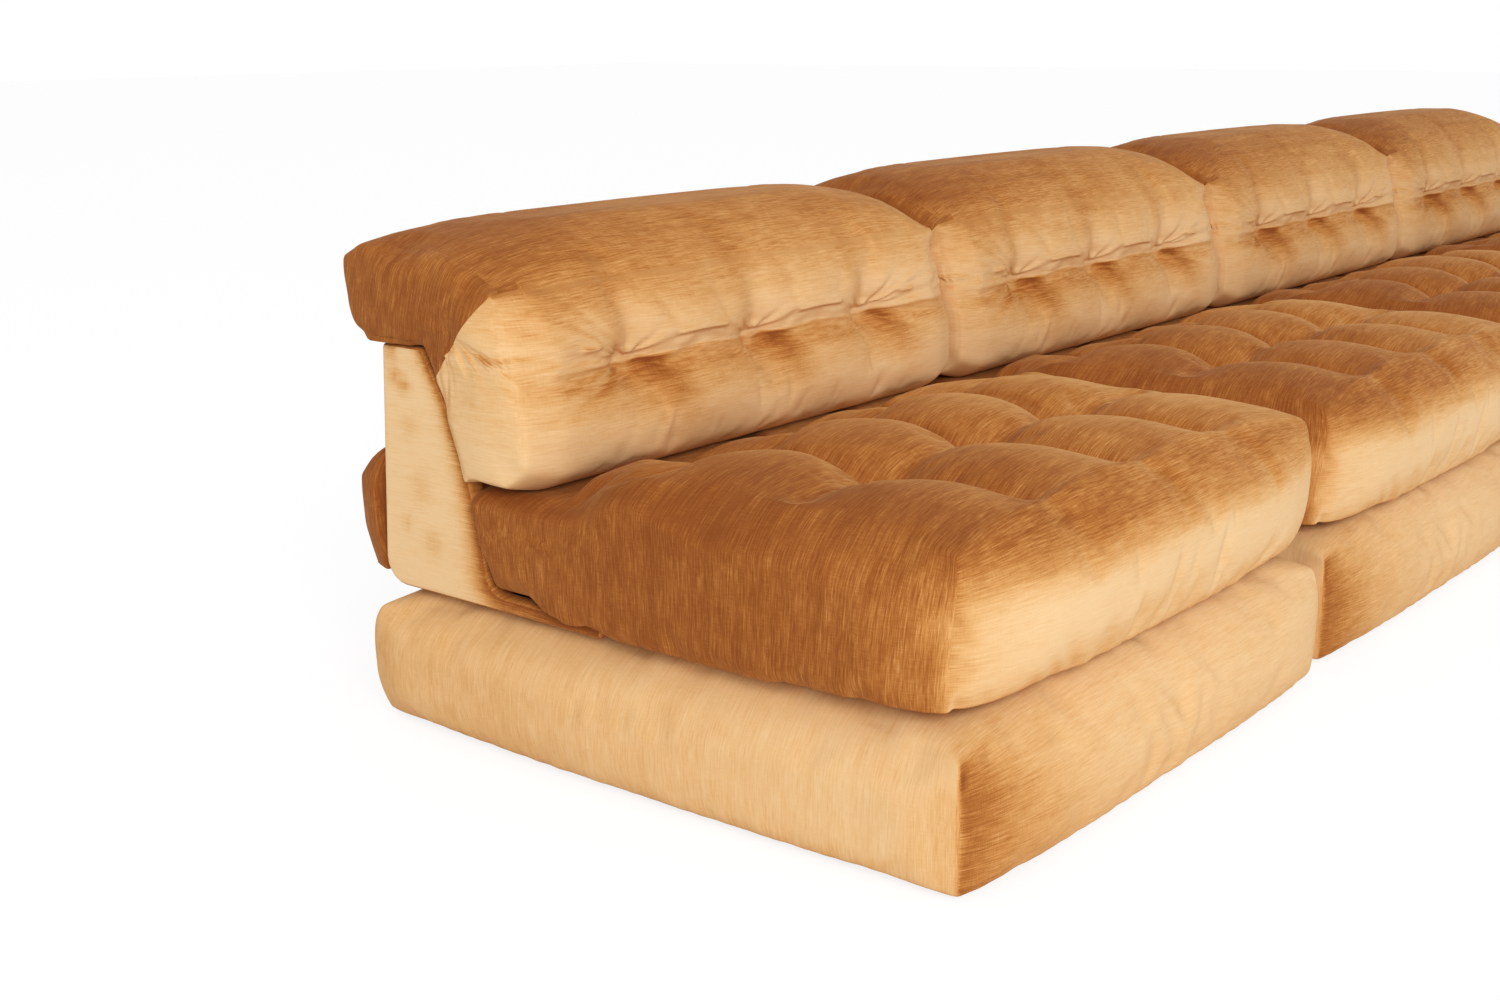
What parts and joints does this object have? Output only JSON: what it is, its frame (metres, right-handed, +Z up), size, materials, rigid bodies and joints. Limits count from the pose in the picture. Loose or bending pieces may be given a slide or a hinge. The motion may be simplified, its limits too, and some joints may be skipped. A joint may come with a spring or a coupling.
{
  "type": "modular sofa",
  "caption": "Straight modular sofa in velvet: low base cushions, tufted seat cushions, and hooked back cushions carried on padded L-shaped side brackets.",
  "frame": {"origin": "on the floor, under the middle of the row's bounding box", "axes": "+X along the row to the right as seen by a person facing the sofa, -Y towards the front of the seats, +Z up"},
  "size_m": [3.8396, 0.9984, 0.6638],
  "materials": {
    "velvet": "slubby cotton velvet with a crushed pile, gold to caramel",
    "timber": "raw pine and plywood",
    "lining": "dark non-woven cloth",
    "glide": "black nylon",
    "steel": "grey paint",
    "board": "black-stained plywood",
    "foam": "cut upholstery foam",
    "twine": "waxed upholstery twine"
  },
  "bodies": {
    "base_1": {"base_cover_1": "velvet", "base_frame_1": "timber", "base_lining_1": "lining", "base_glides_1": "glide"},
    "support_1": {"left_bracket_1": "velvet", "right_bracket_1": "velvet", "left_plate_1": "steel", "right_plate_1": "steel", "foot_board_1": "board"},
    "seat_1": {"seat_cover_1": "velvet", "seat_foam_1": "foam", "seat_ties_1": "twine"},
    "back_1": {"back_cover_1": "velvet", "back_foam_1": "foam", "back_hook_1": "timber"},
    "base_2": {"base_cover_2": "velvet", "base_frame_2": "timber", "base_lining_2": "lining", "base_glides_2": "glide"},
    "support_2": {"left_bracket_2": "velvet", "right_bracket_2": "velvet", "left_plate_2": "steel", "right_plate_2": "steel", "foot_board_2": "board"},
    "seat_2": {"seat_cover_2": "velvet", "seat_foam_2": "foam", "seat_ties_2": "twine"},
    "back_2": {"back_cover_2": "velvet", "back_foam_2": "foam", "back_hook_2": "timber"},
    "base_3": {"base_cover_3": "velvet", "base_frame_3": "timber", "base_lining_3": "lining", "base_glides_3": "glide"},
    "support_3": {"left_bracket_3": "velvet", "right_bracket_3": "velvet", "left_plate_3": "steel", "right_plate_3": "steel", "foot_board_3": "board"},
    "seat_3": {"seat_cover_3": "velvet", "seat_foam_3": "foam", "seat_ties_3": "twine"},
    "back_3": {"back_cover_3": "velvet", "back_foam_3": "foam", "back_hook_3": "timber"},
    "base_4": {"base_cover_4": "velvet", "base_frame_4": "timber", "base_lining_4": "lining", "base_glides_4": "glide"},
    "support_4": {"left_bracket_4": "velvet", "right_bracket_4": "velvet", "left_plate_4": "steel", "right_plate_4": "steel", "foot_board_4": "board"},
    "seat_4": {"seat_cover_4": "velvet", "seat_foam_4": "foam", "seat_ties_4": "twine"},
    "back_4": {"back_cover_4": "velvet", "back_foam_4": "foam", "back_hook_4": "timber"}
  },
  "joints": [
    {"name": "module_2_slide", "type": "slide", "parent": "base_1", "child": "base_2", "axis": [1, 0, 0], "range_m": [0, 0.3]},
    {"name": "module_3_slide", "type": "slide", "parent": "base_2", "child": "base_3", "axis": [1, 0, 0], "range_m": [0, 0.3]},
    {"name": "module_4_slide", "type": "slide", "parent": "base_3", "child": "base_4", "axis": [1, 0, 0], "range_m": [0, 0.3]},
    {"name": "support_1_lift", "type": "slide", "parent": "base_1", "child": "support_1", "axis": [0, 0, 1], "range_m": [0, 0.12]},
    {"name": "seat_1_lift", "type": "slide", "parent": "support_1", "child": "seat_1", "axis": [0, 0, 1], "range_m": [0, 0.35]},
    {"name": "back_1_lift", "type": "slide", "parent": "seat_1", "child": "back_1", "axis": [0, 0, 1], "range_m": [0, 0.2]},
    {"name": "support_2_lift", "type": "slide", "parent": "base_2", "child": "support_2", "axis": [0, 0, 1], "range_m": [0, 0.12]},
    {"name": "seat_2_lift", "type": "slide", "parent": "support_2", "child": "seat_2", "axis": [0, 0, 1], "range_m": [0, 0.35]},
    {"name": "back_2_lift", "type": "slide", "parent": "seat_2", "child": "back_2", "axis": [0, 0, 1], "range_m": [0, 0.2]},
    {"name": "support_3_lift", "type": "slide", "parent": "base_3", "child": "support_3", "axis": [0, 0, 1], "range_m": [0, 0.12]},
    {"name": "seat_3_lift", "type": "slide", "parent": "support_3", "child": "seat_3", "axis": [0, 0, 1], "range_m": [0, 0.35]},
    {"name": "back_3_lift", "type": "slide", "parent": "seat_3", "child": "back_3", "axis": [0, 0, 1], "range_m": [0, 0.2]},
    {"name": "support_4_lift", "type": "slide", "parent": "base_4", "child": "support_4", "axis": [0, 0, 1], "range_m": [0, 0.12]},
    {"name": "seat_4_lift", "type": "slide", "parent": "support_4", "child": "seat_4", "axis": [0, 0, 1], "range_m": [0, 0.35]},
    {"name": "back_4_lift", "type": "slide", "parent": "seat_4", "child": "back_4", "axis": [0, 0, 1], "range_m": [0, 0.2]}
  ]
}
